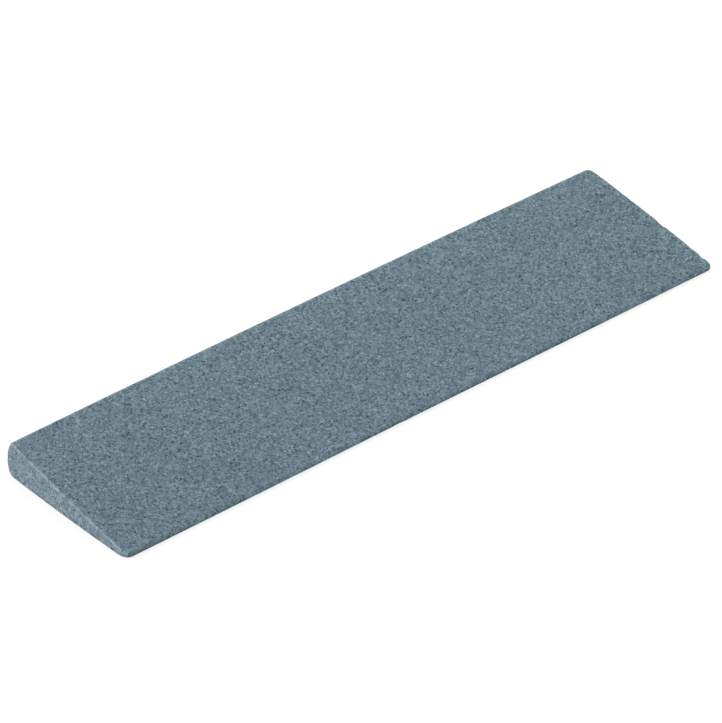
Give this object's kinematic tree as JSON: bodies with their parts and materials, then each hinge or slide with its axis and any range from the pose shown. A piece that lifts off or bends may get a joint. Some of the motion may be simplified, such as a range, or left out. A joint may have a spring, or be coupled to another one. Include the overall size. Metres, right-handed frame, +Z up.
{
  "type": "sharpening whetstone",
  "caption": "Wedge-section slip stone: a straight bar that tapers from a thick rounded long edge to a thin rounded one, with two flat honing faces and square ends.",
  "frame": {"origin": "centre of the bounding box's base, on the plane of the working face that the stone lies on", "axes": "+X along the length; +Y across the width, from the thin edge towards the thick edge; +Z up, out of the face that the stone lies on"},
  "size_m": [0.1, 0.025, 0.0053],
  "materials": {
    "bonded_grit": "unglazed bonded silicon carbide grit, matt blue-grey with dark and light grains"
  },
  "bodies": {
    "root": {"slip_stone": "bonded_grit"}
  },
  "joints": []
}
